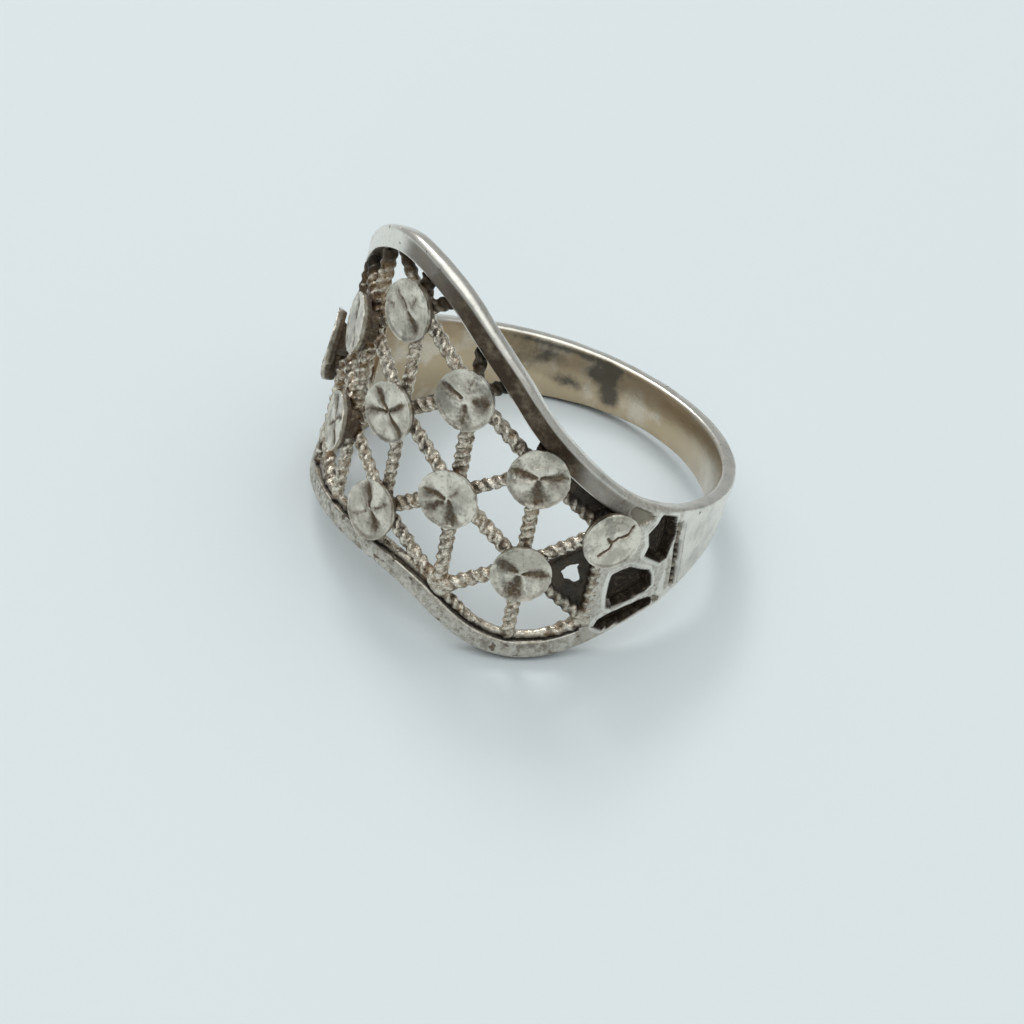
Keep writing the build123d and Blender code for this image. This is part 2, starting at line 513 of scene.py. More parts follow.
def wall_place(column, row):
    """Angle, height and radius of a point of the wall's outside, rows from the top."""
    angle = column_angle(column)
    shape = panel_share(angle)
    from_low = wall_rows - row
    if row <= rim_rows:
        inward = UPPER_ROWS[row]
        turned, height = rim_point(upper, angle, inward)
        back = stands_back(UPPER_FACE, inward) * shape
        back += rounded_off(inward, band_round + (panel_round - band_round) * shape)
        return turned, height, outer_radius - back
    if from_low <= rim_rows:
        inward = LOWER_ROWS[from_low]
        turned, height = rim_point(lower, angle, -inward)
        return turned, height, outer_radius - stands_back(LOWER_FACE, inward) * shape
    top_angle, top_height = rim_point(upper, angle, upper_rim)
    low_angle, low_height = rim_point(lower, angle, -lower_rim)
    share = (row - rim_rows) / middle_rows
    turned = top_angle + (low_angle - top_angle) * share
    height = top_height + (low_height - top_height) * share
    back = UPPER_FACE[-1][1] + (LOWER_FACE[-1][1] - UPPER_FACE[-1][1]) * share
    return turned, height, outer_radius - back * shape


def wall_point(column, row):
    angle, height, radius = wall_place(column, row)
    return on_cylinder(radius + shoulder_relief(angle, height), angle, height)


def edge_distances(point):
    """How far a point is above the lower edge and below the upper one, along the wall."""
    angle = angle_of(point)
    above = (point.z - lower.at(angle)) / math.hypot(1, lower.slope(angle))
    below = (upper.at(angle) - point.z) / math.hypot(1, upper.slope(angle))
    return above, below


def bore_radius(point):
    """The inside's radius: rounded off at the upper edge, flared towards both edges at the back."""
    above, below = edge_distances(point)
    shape = panel_share(angle_of(point))
    comfort = band_comfort + (panel_comfort - band_comfort) * shape
    flare = (above - below) / (above + below)
    return finger_radius + rounded_off(below, comfort) + bore_flare * (1 - shape) * flare ** 2


def make_wall():
    """A grid wound into the wall, with the window left out, made thick towards the finger."""
    bpy.ops.mesh.primitive_grid_add(x_subdivisions=wall_columns, y_subdivisions=wall_rows, size=2)
    wall = bpy.context.object
    wall.name = "band_and_rims"
    mesh = wall.data

    def in_opening(polygon):
        column = (polygon.center.x + 1) / 2 * wall_columns
        row = (1 - polygon.center.y) / 2 * wall_rows
        between_rims = rim_rows < row < wall_rows - rim_rows
        return between_rims and window_left < column_angle(column) < window_right

    choose(wall, "FACE", in_opening)
    bpy.ops.mesh.delete(type="FACE")
    work_in("OBJECT")
    for vertex in mesh.vertices:
        column = round((vertex.co.x + 1) / 2 * wall_columns)
        row = round((1 - vertex.co.y) / 2 * wall_rows)
        vertex.co = wall_point(column, row)
    opened(wall)
    bpy.ops.mesh.remove_doubles(threshold=0.001)
    turned_outward()
    outside_count = len(mesh.vertices)
    modify(wall, "SOLIDIFY", thickness=outer_radius - finger_radius, offset=-1,
           edge_crease_outer=1.0, edge_crease_inner=1.0)
    vertices = list(wall.data.vertices)
    for vertex, outside in zip(vertices[outside_count:], vertices[:outside_count]):
        place = outside.co
        vertex.co = on_cylinder(bore_radius(place), angle_of(place), place.z)
    return wall


def break_edges(wall):
    """Takes the sharpness off every edge but the upper one, which is round already."""
    mesh = wall.data

    def sharp(edge):
        at_top = all(edge_distances(mesh.vertices[i].co)[1] < 0.01 for i in edge.vertices)
        return mesh.attributes["crease_edge"].data[edge.index].value > 0.5 and not at_top

    choose(wall, "EDGE", sharp)
    bpy.ops.mesh.bevel(offset=edge_bevel, segments=2)
    work_in("OBJECT")


# Net

rope_sides = 16
net_grain = 0.062
net_smoothing = 2
net_skin = 0.07
# The share of the net's triangles that is kept, for a lighter mesh
net_faces_kept = 0.6
thinnest_wire = 0.8
knot_radius = 0.5
knot_flatness = 0.8
rim_wire_thickness = 0.55
rim_wire_place = finger_radius + 0.42
rim_wire_waver = 0.04
# A wire ends this share of the way under a rim, or this many degrees past the window
under_share = 0.85
past_window = 2
# The net is kept clear of the outside up to this distance beyond a rim
rim_margin = 0.1
# Steps along a wire on which its ends are looked for, and the fewest that make a wire
clip_steps = 80
fewest_steps = 8


def node_place(across, up):
    """Angle and height of a crossing."""
    angle = net_centre_angle + across * net_step + up * net_lean
    return angle, net_centre_height + across * net_climb + up * net_rise


def make_rope(turns):
    """Two strands twisted together, standing from height 0."""
    bpy.ops.mesh.primitive_circle_add(
        vertices=10, radius=strand_radius, location=(strand_offset, 0, 0), rotation=(math.pi / 2, 0, 0))
    strand = bpy.context.object
    bpy.ops.object.transform_apply(location=True, rotation=True, scale=True)
    modify(strand, "SCREW", angle=2 * math.pi, screw_offset=strand_pitch, iterations=turns,
           steps=rope_sides, render_steps=rope_sides, use_normal_calculate=True)
    opened(strand)
    bpy.ops.mesh.fill_holes(sides=0)
    turned_outward()
    other = copy_of(strand, "strand", Matrix.Rotation(math.pi, 4, "Z"))
    length = turns * strand_pitch
    core = cylinder(rope_sides, core_radius, length, length / 2)
    return joined([strand, other, core], "rope")


def in_panel(point):
    angle = angle_of(point)
    if not window_left - past_window < angle < window_right + past_window:
        return False
    above, below = edge_distances(point)
    return above > under_share * lower_rim and below > under_share * upper_rim


def clipped(start, end):
    """The stretch of a wire that lies between the rims, or nothing."""
    inside = [i for i in range(clip_steps + 1) if in_panel(start.lerp(end, i / clip_steps))]
    if len(inside) < fewest_steps:
        return None
    return start.lerp(end, inside[0] / clip_steps), start.lerp(end, inside[-1] / clip_steps)


def standing_between(start, end, length, roll, girth):
    """The place of a rope of a given length, stretched from start to end and rolled."""
    axis = end - start
    turn = axis.to_track_quat("Z", "Y").to_matrix().to_4x4()
    stretch = Matrix.Diagonal((girth, girth, axis.length / length, 1))
    return Matrix.Translation(start) @ turn @ Matrix.Rotation(roll, 4, "Z") @ stretch


def wires():
    """The ropes between crossings, and each one's ends and share of the full thickness."""
    ropes = {}
    placed = []
    lines = []
    done = set()
    for across, up in NODES:
        for step_across, step_up in [(1, 0), (0, 1), (1, -1), (-1, 0), (0, -1), (-1, 1)]:
            other = (across + step_across, up + step_up)
            pair = frozenset([(across, up), other])
            if pair in done:
                continue
            done.add(pair)
            ends = clipped(on_cylinder(wire_line, *node_place(across, up)),
                           on_cylinder(wire_line, *node_place(*other)))
            if ends is None:
                continue
            turns = max(1, round((ends[1] - ends[0]).length / strand_pitch))
            if turns not in ropes:
                ropes[turns] = make_rope(turns)
            girth = dice.uniform(thinnest_wire, 1.0)
            place = standing_between(*ends, turns * strand_pitch, dice.uniform(0, math.pi), girth)
            placed.append(copy_of(ropes[turns], "wire", place))
            lines.append((*ends, girth))
    for rope in ropes.values():
        drop(rope)
    return placed, lines


def knots():
    """Lumps of metal where the wires meet."""
    bpy.ops.mesh.primitive_uv_sphere_add(segments=20, ring_count=12, radius=knot_radius)
    lump = bpy.context.object
    lump.data.transform(Matrix.Diagonal((1, knot_flatness, 1, 1)))
    placed = []
    for across, up in NODES:
        angle, height = node_place(across, up)
        place = Matrix.Translation(on_cylinder(wire_line, angle, height))
        placed.append(copy_of(lump, "knot", place @ Matrix.Rotation(math.radians(angle), 4, "Z")))
    drop(lump)
    return placed


def round_wire(places, thickness):
    """A round wire through places given by radius, angle and height."""
    bpy.ops.curve.primitive_nurbs_path_add(enter_editmode=False)
    path = bpy.context.object
    path.data.splines.clear()
    spline = path.data.splines.new("NURBS")
    spline.points.add(len(places) - 1)
    for point, place in zip(spline.points, places):
        point.co = (*on_cylinder(*place), 1)
    spline.order_u = 3
    spline.use_endpoint_u = True
    path.data.bevel_depth = thickness / 2
    path.data.bevel_resolution = 3
    path.data.resolution_u = 3
    path.data.use_fill_caps = True
    only(path)
    bpy.ops.object.convert(target="MESH")
    return bpy.context.object


def lower_rim_wire():
    """The rough wire that lies along the inside of the lower rim."""
    places = []
    for angle in range(int(window_left) - past_window, int(window_right) + past_window + 1, 4):
        turned, height = rim_point(lower, angle, -(lower_rim + rim_margin))
        waver = dice.uniform(-rim_wire_waver, rim_wire_waver)
        places.append((rim_wire_place + waver, turned, height))
    return round_wire(places, rim_wire_thickness)


def radial_block(points, inside, outside):
    """A block through the wall, its outline given by angle and height."""
    middle = sum(angle for angle, height in points) / len(points)
    bpy.ops.mesh.primitive_circle_add(vertices=len(points), radius=1, fill_type="NGON")
    block = bpy.context.object
    outward = on_cylinder(1, middle, 0)
    aside = on_cylinder(1, middle + 90, 0)
    for vertex, (angle, height) in zip(block.data.vertices, points):
        along = outer_radius * math.sin(math.radians(angle - middle))
        vertex.co = outward * inside + aside * along + Vector((0, 0, height))
    opened(block)
    bpy.ops.mesh.extrude_region_move(TRANSFORM_OT_translate={"value": outward * (outside - inside)})
    turned_outward()
    return block


def filled_corners():
    """The dark plates that close the net's corners at the right shoulder, the low one with its hole."""
    high, low = [radial_block(points, plate_foot, plate_top) for points in PLATES]
    cut_away(low, radial_block(wall_points(CORNER_HOLE), finger_radius / 2, outer_radius))
    return [high, low]


def paint_net(net, lines):
    """Grooves lie near a wire's middle line and crests far from it; joints and plates are black."""
    points = np.array([vertex.co for vertex in net.data.vertices])
    nearest = np.full(len(points), 9.0)
    for start, end, girth in lines:
        start, along = np.array(start), np.array(end - start)
        share = np.clip((points - start) @ along / (along @ along), 0, 1)
        apart = np.linalg.norm(points - start - share[:, None] * along, axis=1)
        nearest = np.minimum(nearest, apart / girth)

    grooves = []
    blacks = []
    for near, vertex in zip(nearest, net.data.vertices):
        point = vertex.co
        angle = angle_of(point)
        radius = radius_of(point)
        above, below = edge_distances(point)
        joint = max(fall(above, lower_rim, lower_rim + 0.5),
                    fall(below, upper_rim + rim_margin, upper_rim + 1.6))
        inward = fall(radius, finger_radius + 0.25, finger_radius + 0.75)
        twist = fall(near, 0.35, 0.42)
        far_left = fall(angle, -42, -16) * (0.4 + 0.6 * rise(point.z, 1.5, 4.0))
        grooves.append(max(0.75 * twist, 0.6 * inward) + 0.32 * far_left + 0.25 * joint)
        in_plate = rise(deepest(PLATES, angle, point.z), -0.25, 0.0)
        in_plate *= 1 - 0.7 * rise(radius, plate_top + 0.08, plate_top + 0.3)
        blacks.append(max(in_plate, 0.75 * joint))
    write_layer(net, "tarnish", grooves)
    write_layer(net, "black", blacks)


def make_net():
    """Wires, knots, plates and the lower rim's wire, melted together and tucked under the wall."""
    placed, lines = wires()
    net = joined(placed + knots() + filled_corners() + [lower_rim_wire()], "net_of_wires")
    fused(net, net_grain, net_smoothing)
    modify(net, "DECIMATE", ratio=net_faces_kept)
    for vertex in net.data.vertices:
        radius = radius_of(vertex.co)
        above, below = edge_distances(vertex.co)
        covered = above < lower_rim + rim_margin or below < upper_rim + rim_margin
        covered = covered or not window_left < angle_of(vertex.co) < window_right
        if covered and radius > under_rim:
            vertex.co.x *= under_rim / radius
            vertex.co.y *= under_rim / radius
    paint_net(net, lines)
    roughen(net, fine_skin, net_skin)
    return net


# Discs

disc_radius = 1.4
disc_thickness = 0.44
disc_top = outer_radius + 0.65
disc_sides = 72
disc_grain = 0.045
disc_smoothing = 5
disc_skin = 0.06
# The underside's share of the face's width
disc_taper = 0.9
lip_width = 0.09
lip_height = 0.05
hub_radius = 0.75
hub_sides = 40
mark_depth = 0.11
# Marks are pressed only into metal above this height, the face being at 0
marked_above = -0.15
# The most that a disc leans by chance, in degrees
chance_lean = 3


def plain_cross(*directions):
    return [(direction, 10, 0.0, 1.1, 0.9) for direction in directions]


# Wedge marks on each disc: direction in degrees anticlockwise from the right, half width in
# degrees, start, end, strength
WEDGES = {
    "a": [(146, 9, 0.0, 1.1, 0.6), (-37, 14, 0.0, 1.0, 0.9),
          (63, 18, 0.3, 0.9, 0.5), (-173, 14, 0.8, 1.3, 0.5)],
    "b": [(168, 7, 0.1, 1.2, 1.0), (15, 25, 0.3, 1.1, 1.0),
          (-78, 26, 0.1, 1.1, 0.7), (84, 30, 0.4, 1.0, 0.5)],
    "c": [(172, 15, 0.0, 1.2, 1.0), (20, 14, 0.0, 1.15, 1.0),
          (-80, 30, 0.0, 1.15, 1.0), (108, 25, 0.5, 1.0, 0.4)],
    "d": [(80, 40, 0.9, 1.2, 0.3)],
    "e": [(120, 9, 0.1, 1.0, 0.6), (-60, 9, 0.1, 1.1, 0.6)],
    "f": [(142, 10, 0.0, 1.15, 1.0), (-37, 10, 0.0, 1.2, 1.0),
          (-162, 9, 0.0, 1.1, 0.9), (44, 9, 0.0, 1.0, 0.9)],
    "g": [(178, 20, 0.1, 1.1, 1.0), (-133, 16, 0.2, 1.1, 0.9),
          (-63, 16, 0.0, 1.15, 1.0), (60, 8, 0.1, 0.8, 0.5)],
    "h": [(14, 17, 0.0, 1.1, 1.0), (-96, 30, 0.1, 1.15, 1.0), (160, 18, 0.1, 1.1, 1.0)],
    "i": [(130, 10, 0.0, 1.1, 0.9), (-50, 10, 0.0, 1.1, 0.9),
          (-140, 9, 0.0, 1.0, 0.7), (40, 9, 0.0, 1.0, 0.7)],
    "j": [(120, 13, 0.0, 1.15, 1.0), (-47, 22, 0.0, 0.9, 1.0),
          (-140, 10, 0.2, 1.1, 0.6), (40, 10, 0.2, 1.1, 0.6)],
    "k": plain_cross(45, -135, 135, -45),
    "l": plain_cross(40, -140, 130, -50),
}
# The crooked scratches on disc d, from point to point
SCRATCHES = [
    (-0.4, -0.8), (-0.25, -0.6), (-0.02, -0.4), (0.0, -0.15), (-0.22, 0.08), (0.08, -0.04),
    (0.3, 0.2), (0.45, 0.22), (0.68, 0.47), (0.83, 0.85),
]
# Discs that lean back around the ring, in degrees
LEANING = {"e": -8, "i": -8, "k": -5, "l": -4}


def mark_strength(letter, x, y):
    """How strongly a disc is marked at a place on its face, 0 to 1."""
    out = math.hypot(x, y)
    waver = Vector((2.2 * x, 2.2 * y, 3.0 * ord(letter)))
    x, y = x + 0.1 * noise.noise(waver), y + 0.1 * noise.noise(waver + Vector((7, 3, 1)))
    strongest = 0.0
    for direction, half_width, start, end, strength in WEDGES[letter]:
        turn = math.radians(direction)
        along = x * math.cos(turn) + y * math.sin(turn)
        across = abs(y * math.cos(turn) - x * math.sin(turn))
        if along < start:
            continue
        half = 0.07 + 1.15 * along * math.tan(math.radians(half_width))
        soft = fall(across, 0.0, 1.5 * half)
        core = fall(across, 0.02, 0.1)
        share = 0.8 * soft + 0.3 * core
        share *= rise(along, start - 0.03, start + 0.1)
        strongest = max(strongest, strength * share * fall(out, end - 0.2, end + 0.4))
    if letter == "d":
        place = Vector((x, y))
        for first, second in zip(SCRATCHES, SCRATCHES[1:]):
            first, along = Vector(first), Vector(second) - Vector(first)
            share = min(max((place - first).dot(along) / along.length_squared, 0), 1)
            apart = (place - first - share * along).length
            strongest = max(strongest, 0.8 * fall(apart, 0.04, 0.11))
    return strongest


def make_disc():
    """A flat disc with a low lip on a short hub, its top at height 0."""
    disc = cylinder(disc_sides, disc_radius, disc_thickness, -disc_thickness / 2)
    choose(disc, "FACE", lambda polygon: polygon.normal.z < -0.9)
    bpy.ops.transform.resize(
        value=(disc_taper, disc_taper, 1), center_override=(0, 0, -disc_thickness))
    choose(disc, "FACE", lambda polygon: polygon.normal.z > 0.9)
    bpy.ops.mesh.inset(thickness=lip_width)
    bpy.ops.mesh.inset(thickness=lip_width, depth=-lip_height)
    work_in("OBJECT")
    hub_height = disc_top - disc_thickness / 2 - wire_line
    hub = cylinder(hub_sides, hub_radius, hub_height, -disc_thickness / 2 - hub_height / 2)
    disc = joined([disc, hub], "disc")
    fused(disc, disc_grain, disc_smoothing)
    return disc


def marked(disc, letter):
    """Presses the marks into a disc's face and paints them; its side and underside get painted shade."""
    marks_and_shaded_side = []
    for vertex in disc.data.vertices:
        on_top = vertex.co.z > marked_above
        strength = mark_strength(letter, vertex.co.x, vertex.co.y) if on_top else 0.0
        vertex.co.z -= mark_depth * strength
        # The side and underside below the face are painted dark, as painted shade under the disc's edge
        side = 0.85 * rise(-vertex.co.z, 0.1, 0.3)
        marks_and_shaded_side.append(max(strength, side))
    write_layer(disc, "tarnish", marks_and_shaded_side)


def make_discs():
    plain = make_disc()
    discs = []
    for letter, (across, up) in DISCS.items():
        angle, height = node_place(across, up)
        place = Matrix.Translation(on_cylinder(disc_top, angle, height))
        place = place @ Matrix.Rotation(math.radians(angle), 4, "Z")
        place = place @ Matrix.Rotation(math.radians(90), 4, "X")
        tip = Matrix.Rotation(math.radians(dice.uniform(-chance_lean, chance_lean)), 4, "X")
        lean = LEANING.get(letter, 0) + dice.uniform(-chance_lean, chance_lean)
        tip = tip @ Matrix.Rotation(math.radians(lean), 4, "Y")
        disc = copy_of(plain, "disc_" + letter, Matrix.Identity(4))
        marked(disc, letter)
        disc.data.transform(place @ tip)
        roughen(disc, broad_skin, disc_skin)
        discs.append(disc)
    drop(plain)
    return discs


# Finishes

class Signal:
    """A socket of a finish. Arithmetic on it adds Math nodes."""

    def __init__(self, finish, socket):
        self.finish = finish
        self.socket = socket

    def maths(self, operation, first, second):
        made = self.finish.node("ShaderNodeMath", {"operation": operation}, {0: first, 1: second})
        return Signal(self.finish, made.outputs[0])

    def wave(self):
        return self.maths("SINE", self, 0.0)

    def __add__(self, other):
        return self.maths("ADD", self, other)

    def __radd__(self, other):
        return self.maths("ADD", other, self)

    def __sub__(self, other):
        return self.maths("SUBTRACT", self, other)

    def __rsub__(self, other):
        return self.maths("SUBTRACT", other, self)

    def __mul__(self, other):
        return self.maths("MULTIPLY", self, other)

    def __rmul__(self, other):
        return self.maths("MULTIPLY", other, self)

    def highest(self, other):
        return self.maths("MAXIMUM", self, other)

    def between(self, low, high):
        """0 below low, 1 above high, and a smooth rise from one to the other."""
        made = self.finish.node("ShaderNodeMapRange", {"interpolation_type": "SMOOTHSTEP"},
                                {"Value": self, "From Min": low, "From Max": high})
        return Signal(self.finish, made.outputs[0])


class Finish:
    """A material whose patterns are measured in millimetres of the ring."""

    def __init__(self, name):
        self.material = bpy.data.materials.new(name)
        self.material.use_nodes = True
        self.tree = self.material.node_tree
        self.shader = self.tree.nodes["Principled BSDF"]
        place = self.node("ShaderNodeTexCoord", {}, {}).outputs["Object"]
        scaled = self.node(
            "ShaderNodeVectorMath", {"operation": "SCALE"}, {"Vector": place, "Scale": 1000.0})
        self.place = scaled.outputs[0]

    def feed(self, socket, value):
        """Links a signal or a socket to a socket, or sets a plain value on it."""
        if isinstance(value, Signal):
            value = value.socket
        if isinstance(value, bpy.types.NodeSocket):
            self.tree.links.new(value, socket)
        elif isinstance(value, tuple) and socket.type == "RGBA":
            socket.default_value = (*value, 1.0)
        else:
            socket.default_value = value

    def node(self, kind, settings, inputs):
        made = self.tree.nodes.new(kind)
        for name, value in settings.items():
            setattr(made, name, value)
        for name, value in inputs.items():
            self.feed(made.inputs[name], value)
        return made

    def stretched(self, x, y, z):
        made = self.node(
            "ShaderNodeVectorMath", {"operation": "MULTIPLY"}, {0: self.place, 1: (x, y, z)})
        return made.outputs[0]

    def noise(self, scale, detail=3.0, roughness=0.55, place=None):
        made = self.node("ShaderNodeTexNoise", {}, {
            "Vector": place or self.place, "Scale": scale, "Detail": detail, "Roughness": roughness})
        return Signal(self, made.outputs[0])

    def painted(self, name):
        made = self.node("ShaderNodeAttribute", {"attribute_name": name}, {})
        return Signal(self, made.outputs["Fac"])

    def openness(self, distance):
        made = self.node("ShaderNodeAmbientOcclusion", {"samples": 8}, {"Distance": distance})
        return Signal(self, made.outputs["AO"])

    def mix(self, share, first, second):
        made = self.node("ShaderNodeMix", {"data_type": "RGBA"}, {0: share, 6: first, 7: second})
        return made.outputs[2]

    def bump(self, height, distance, strength, under=None):
        inputs = {"Height": height, "Distance": distance, "Strength": strength}
        if under is not None:
            inputs["Normal"] = under
        return self.node("ShaderNodeBump", {}, inputs).outputs[0]

    def dampened(self, level):
        """Sets the shine to one level all over the finish."""
        self.shader.inputs["Specular IOR Level"].default_value = level

    def set(self, **values):
        for name, value in values.items():
            self.feed(self.shader.inputs[name.replace("_", " ")], value)


# Colours
SILVER = (0.84, 0.80, 0.725)
GREY_SILVER = (0.52, 0.50, 0.45)
GREY_DISC = (0.53, 0.485, 0.405)
DISC_SILVER = (0.82, 0.765, 0.655)
WARM_SILVER = (0.82, 0.75, 0.63)
DULL_WARM = (0.46, 0.40, 0.32)
DULL_SILVER = (0.33, 0.30, 0.235)
TAN = (0.545, 0.435, 0.295)
FACE_BROWN = (0.068, 0.048, 0.032)
FACE_GREY = (0.215, 0.175, 0.125)
OLIVE = (0.255, 0.225, 0.16)
CELL_BROWN = (0.026, 0.019, 0.012)
CELL_LINE = (0.085, 0.067, 0.045)
SMUDGE = (0.085, 0.08, 0.066)
# Stains in the discs' marks, and the painted shade on the discs' sides and undersides
STAIN_AND_SHADE_BROWN = (0.19, 0.145, 0.09)
STAIN_AND_SHADE_GREY = (0.165, 0.152, 0.125)
BROWN = (0.105, 0.071, 0.043)
DEEP_BROWN = (0.045, 0.032, 0.02)
RUST = (0.25, 0.155, 0.075)
SOOT = (0.014, 0.012, 0.009)
PALE_BLUE = (0.74, 0.79, 0.81)
SKY = (0.93, 0.975, 0.985)


def wall_finish():
    """Worn silver with pits, brown on the painted places, tan inside."""
    f = Finish("worn_silver")
    f.dampened(0.2)
    worn = f.painted("tarnish")
    sunk = f.painted("sunk")
    inner = f.painted("inside")
    low = f.painted("low")
    clouds = f.noise(0.45, 4.0)
    mottle = f.noise(1.7, 5.0, 0.6)
    speckle = f.noise(5.5, 5.0, 0.7)
    base = f.mix(clouds.between(0.48, 0.8), SILVER, GREY_SILVER)
    base = f.mix(speckle.between(0.52, 0.72) * 0.3, base, BROWN)
    base = f.mix(low * (0.9 - 0.6 * speckle.between(0.35, 0.6)), base, DULL_SILVER)
    base = f.mix(low * mottle.between(0.5, 0.68) * 0.6, base, BROWN)
    base = f.mix(inner * (0.6 + 0.4 * clouds.between(0.36, 0.5)), base, TAN)
    smudge = (f.painted("smudge") * (0.1 + 1.9 * mottle) + 0.3 * (speckle - 0.5)).between(0.09, 0.8)
    base = f.mix(smudge * 0.9, base, SMUDGE)
    # The shallow layer also carries the painted shadow beside the bead row, mixed in as olive
    shallow = (f.painted("shallow") * (0.5 + 1.1 * speckle)).between(0.25, 0.65)
    base = f.mix(shallow * 0.85, base, OLIVE)
    cover = (worn * (0.7 + 0.7 * mottle)).between(0.05, 0.9)
    base = f.mix(cover, base, f.mix(mottle.between(0.42, 0.75), FACE_BROWN, FACE_GREY))
    nook = (1.0 - f.openness(0.0005)).between(0.4, 0.8) * (1.0 - 0.8 * sunk)
    rings = (30.0 * f.painted("contour") + 26.0 * mottle).wave()
    floor = f.mix(rings.between(-0.3, 1.0) * speckle.between(0.35, 0.65), CELL_BROWN, CELL_LINE)
    base = f.mix(sunk, base, floor)
    base = f.mix(nook * 0.9, base, SOOT)
    pits = f.noise(2.6, 1.0, 0.4, f.stretched(1.0, 1.0, 1.4))
    pits = (pits + 0.06 * low - 0.2 * inner).between(0.74, 0.78)
    base = f.mix(pits * 0.75, base, BROWN)
    dull = cover.highest(nook).highest(sunk).highest(smudge * 0.5).highest(shallow * 0.7)
    f.set(Base_Color=base, Metallic=1.0 - 0.6 * dull,
          Roughness=0.22 + 0.14 * clouds + 0.26 * dull + 0.1 * low)
    normal = f.bump(mottle, 0.00005, 0.35)
    normal = f.bump(speckle, 0.00002, 0.4, normal)
    f.set(Normal=f.bump(1.0 - pits, 0.00005, 0.7, normal))
    return f.material


def wire_finish():
    """Bright worn crests over brown and black grooves."""
    f = Finish("tarnished_wires")
    f.dampened(0.2)
    deep = f.painted("tarnish")
    patch = f.noise(0.55, 3.0)
    mottle = f.noise(2.6, 4.0, 0.65)
    speckle = f.noise(4.6, 4.0, 0.65)
    open_sky = f.openness(0.0004)
    shade = 0.6 * (1.0 - open_sky) + 0.8 * deep + 0.7 * (speckle - 0.5) + 1.0 * (mottle - 0.5)
    groove = shade.between(0.4, 0.92)
    bright = f.mix(speckle.between(0.44, 0.64), WARM_SILVER, DULL_WARM)
    dark = f.mix(patch.between(0.44, 0.58), BROWN, RUST)
    dark = f.mix(speckle.between(0.53, 0.68), dark, SOOT)
    base = f.mix(groove, bright, dark)
    worn_off = 0.5 * speckle.between(0.55, 0.75)
    black = (f.painted("black") * (0.55 + 0.9 * mottle) - worn_off).between(0.1, 0.75)
    skin = f.mix(patch.between(0.42, 0.56), SOOT, DEEP_BROWN)
    skin = f.mix(speckle.between(0.56, 0.74) * 0.6, skin, OLIVE)
    base = f.mix(black * 0.95, base, skin)
    groove = groove.highest(black)
    f.set(Base_Color=base, Metallic=1.0 - 0.6 * groove, Roughness=0.17 + 0.33 * groove)
    normal = f.bump(mottle, 0.0001, 0.7)
    f.set(Normal=f.bump(speckle, 0.00005, 0.7, normal))
    return f.material


def disc_finish():
    """Flat worn faces with brown and grey stains in their marks, and painted shade on the discs' sides.
    """
    f = Finish("disc_silver")
    mark_and_shade = f.painted("tarnish")
    clouds = f.noise(1.1, 4.0)
    mottle = f.noise(3.0, 4.0)
    speckle = f.noise(7.0, 4.0, 0.7)
    base = f.mix(clouds.between(0.38, 0.62), DISC_SILVER, GREY_DISC)
    base = f.mix(speckle.between(0.5, 0.7) * 0.35, base, BROWN)
    nook = (1.0 - f.openness(0.0004)).between(0.35, 0.75)
    # The painted layer holds the marks' stains and the painted shade on each disc's side and underside
    stain_and_shade = mark_and_shade * (0.5 + 1.1 * mottle) + 0.6 * (speckle - 0.5) + 0.3 * (clouds - 0.5)
    stain_and_shade = stain_and_shade.between(0.08, 0.85)
    patch = (f.noise(0.9, 3.0) + 0.25 * (speckle - 0.5)).between(0.5, 0.68) * 0.6
    stain_and_shade_tint = f.mix(clouds.between(0.45, 0.6), STAIN_AND_SHADE_BROWN, STAIN_AND_SHADE_GREY)
    base = f.mix(patch, base, STAIN_AND_SHADE_GREY)
    base = f.mix(stain_and_shade, base, f.mix(speckle.between(0.36, 0.6), stain_and_shade_tint, BROWN))
    base = f.mix(nook, base, SOOT)
    dull = stain_and_shade.highest(nook)
    f.set(Base_Color=base, Metallic=1.0 - 0.45 * dull, Roughness=0.24 + 0.14 * clouds + 0.22 * dull)
    scratches = f.noise(2.0, 3.0, 0.5, f.stretched(5.0, 5.0, 0.6))
    normal = f.bump(scratches, 0.00004, 0.5)
    f.set(Normal=f.bump(mottle, 0.00006, 0.5, normal))
    return f.material


def floor_finish():
    f = Finish("pale_floor")
    f.set(Base_Color=PALE_BLUE, Roughness=0.65)
    f.dampened(0.25)
    return f.material


# Painting

# Points of the wall out to the first radius count as its inside, from the second as its outside
inside_until = finger_radius + 0.4
outside_from = finger_radius + 0.45
# Dark clouds inside the band: middle angle and height, reach each way, strength
SMUDGES = [
    (193, 0.2, 7, 0.6, 1.0), (189, -0.8, 3.5, 0.6, 0.9), (204, -0.9, 8, 0.45, 0.6),
    (212, 0.15, 6, 0.45, 0.6), (222, -0.3, 7, 1.1, 0.45), (205, 0.75, 24, 0.16, 0.7),
]


def wall_tarnish(point):
    """Brown on the upper rim's front face, from just right of the peak."""
    angle = angle_of(point)
    if radius_of(point) < outside_from:
        return 0.0
    _, below = edge_distances(point)
    on_face = rise(below, 0.12, 0.34)
    on_face *= fall(below, upper_rim - 0.08, upper_rim - 0.02)
    start = 0.6 * rise(angle, -27, -17) + 0.4 * rise(angle, -12, 18)
    end = (1 - 0.5 * rise(angle, 38, 50)) * fall(angle, 57, 76)
    return on_face * start * end


def on_shoulders(value_at):
    """Paint for the outside of the shoulders only, the left one mirroring the right one."""
    def painted(point):
        outside = radius_of(point) >= outside_from
        place = on_shoulder(angle_of(point), point.z) if outside else None
        return value_at(*place) if place else 0.0

    return painted


@on_shoulders
def wall_sunk(angle, height):
    """The cells' floors and walls, and the dirty stretches of the bead row's groove."""
    groove, bead, _ = bead_row(angle, height)
    cell = rise(deepest(CELLS, angle, height), -0.07, -0.02)
    filth = rise(noise.noise(Vector((1.5 * height, 0.15 * angle, 9.0))), -0.3, 0.05)
    return max(cell, groove * filth * fall(bead, 0.4, 0.8))


